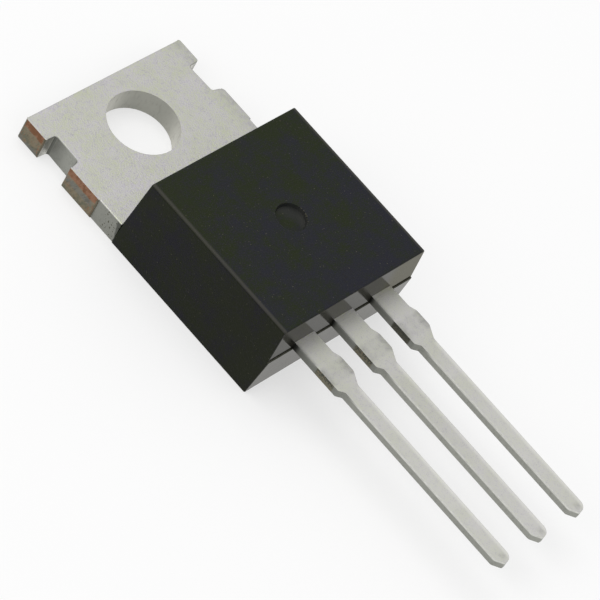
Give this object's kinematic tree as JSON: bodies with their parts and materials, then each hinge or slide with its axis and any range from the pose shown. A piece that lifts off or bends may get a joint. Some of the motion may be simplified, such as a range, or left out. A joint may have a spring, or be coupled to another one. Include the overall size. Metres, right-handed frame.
{
  "type": "thyristor",
  "caption": "Power thyristor in a flat moulded package: black epoxy block, copper heatsink tab with a mounting hole and side notches, and straight flat leads.",
  "frame": {"origin": "axis of the mounting hole, on the back face of the heatsink tab", "axes": "+Z out of the front face, +Y to the tab's free end, leads towards -Y, pin 1 on the -X side; the part lies on its back"},
  "size_m": [0.0098, 0.0291, 0.0044],
  "materials": {
    "epoxy": "fine-grained black moulding epoxy, semi-matt",
    "tinned_copper": "copper with matte tin plating, bare copper where the tie bars were sheared",
    "solder": "dull soft solder",
    "silicon": "lapped silicon with aluminium metallisation",
    "glass": "fused passivation glass, greenish",
    "aluminium_wire": "bright drawn wire"
  },
  "bodies": {
    "root": {"moulded_body": "epoxy", "anode_tab": "tinned_copper", "cathode_lead": "tinned_copper", "gate_lead": "tinned_copper", "die_solder": "solder", "thyristor_die": "silicon", "passivation_glass": "glass", "cathode_wire_1": "aluminium_wire", "cathode_wire_2": "aluminium_wire", "gate_wire": "aluminium_wire"}
  },
  "joints": []
}
